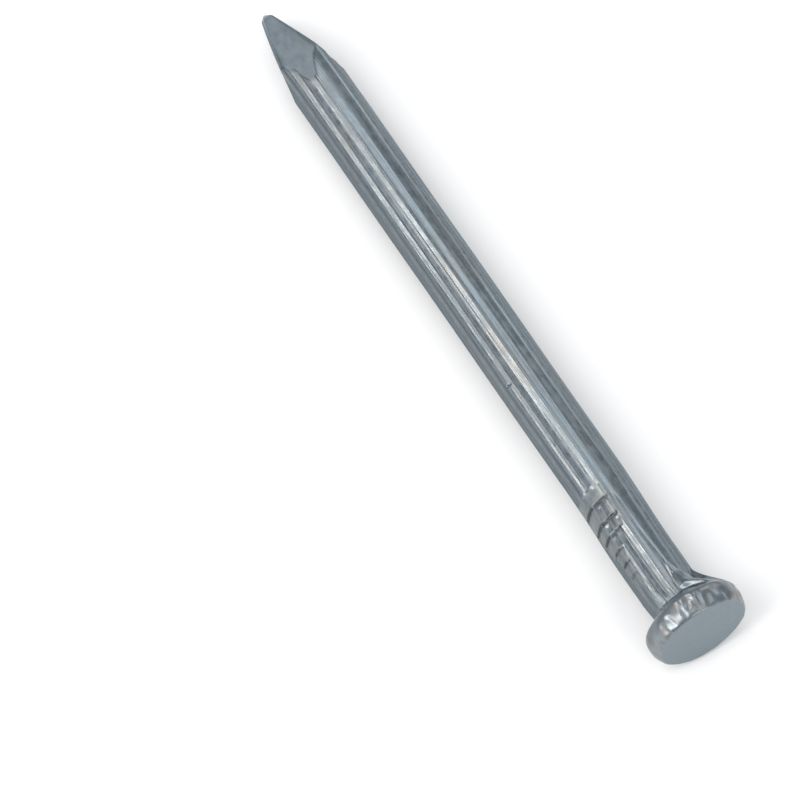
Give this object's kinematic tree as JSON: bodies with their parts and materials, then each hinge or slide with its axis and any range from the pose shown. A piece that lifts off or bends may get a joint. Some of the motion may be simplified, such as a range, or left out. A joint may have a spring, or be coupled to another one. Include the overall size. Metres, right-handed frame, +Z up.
{
  "type": "fluted masonry nail",
  "caption": "Short thick zinc-plated nail with a fluted shank, a bulged round head and a four-sided point, for driving into mortar or concrete.",
  "frame": {"origin": "centre of the flat striking face", "axes": "+X out of the striking face along the shank, the point is at -X, +Z up as the nail lies"},
  "size_m": [0.0508, 0.0064, 0.0064],
  "materials": {
    "steel": "hardened steel wire, cold headed, hidden under the zinc",
    "zinc": "blue-grey zinc plating with fine draw lines along the shank and a semi-matt face"
  },
  "bodies": {
    "root": {"steel_core": "steel", "zinc_plating": "zinc"}
  },
  "joints": []
}
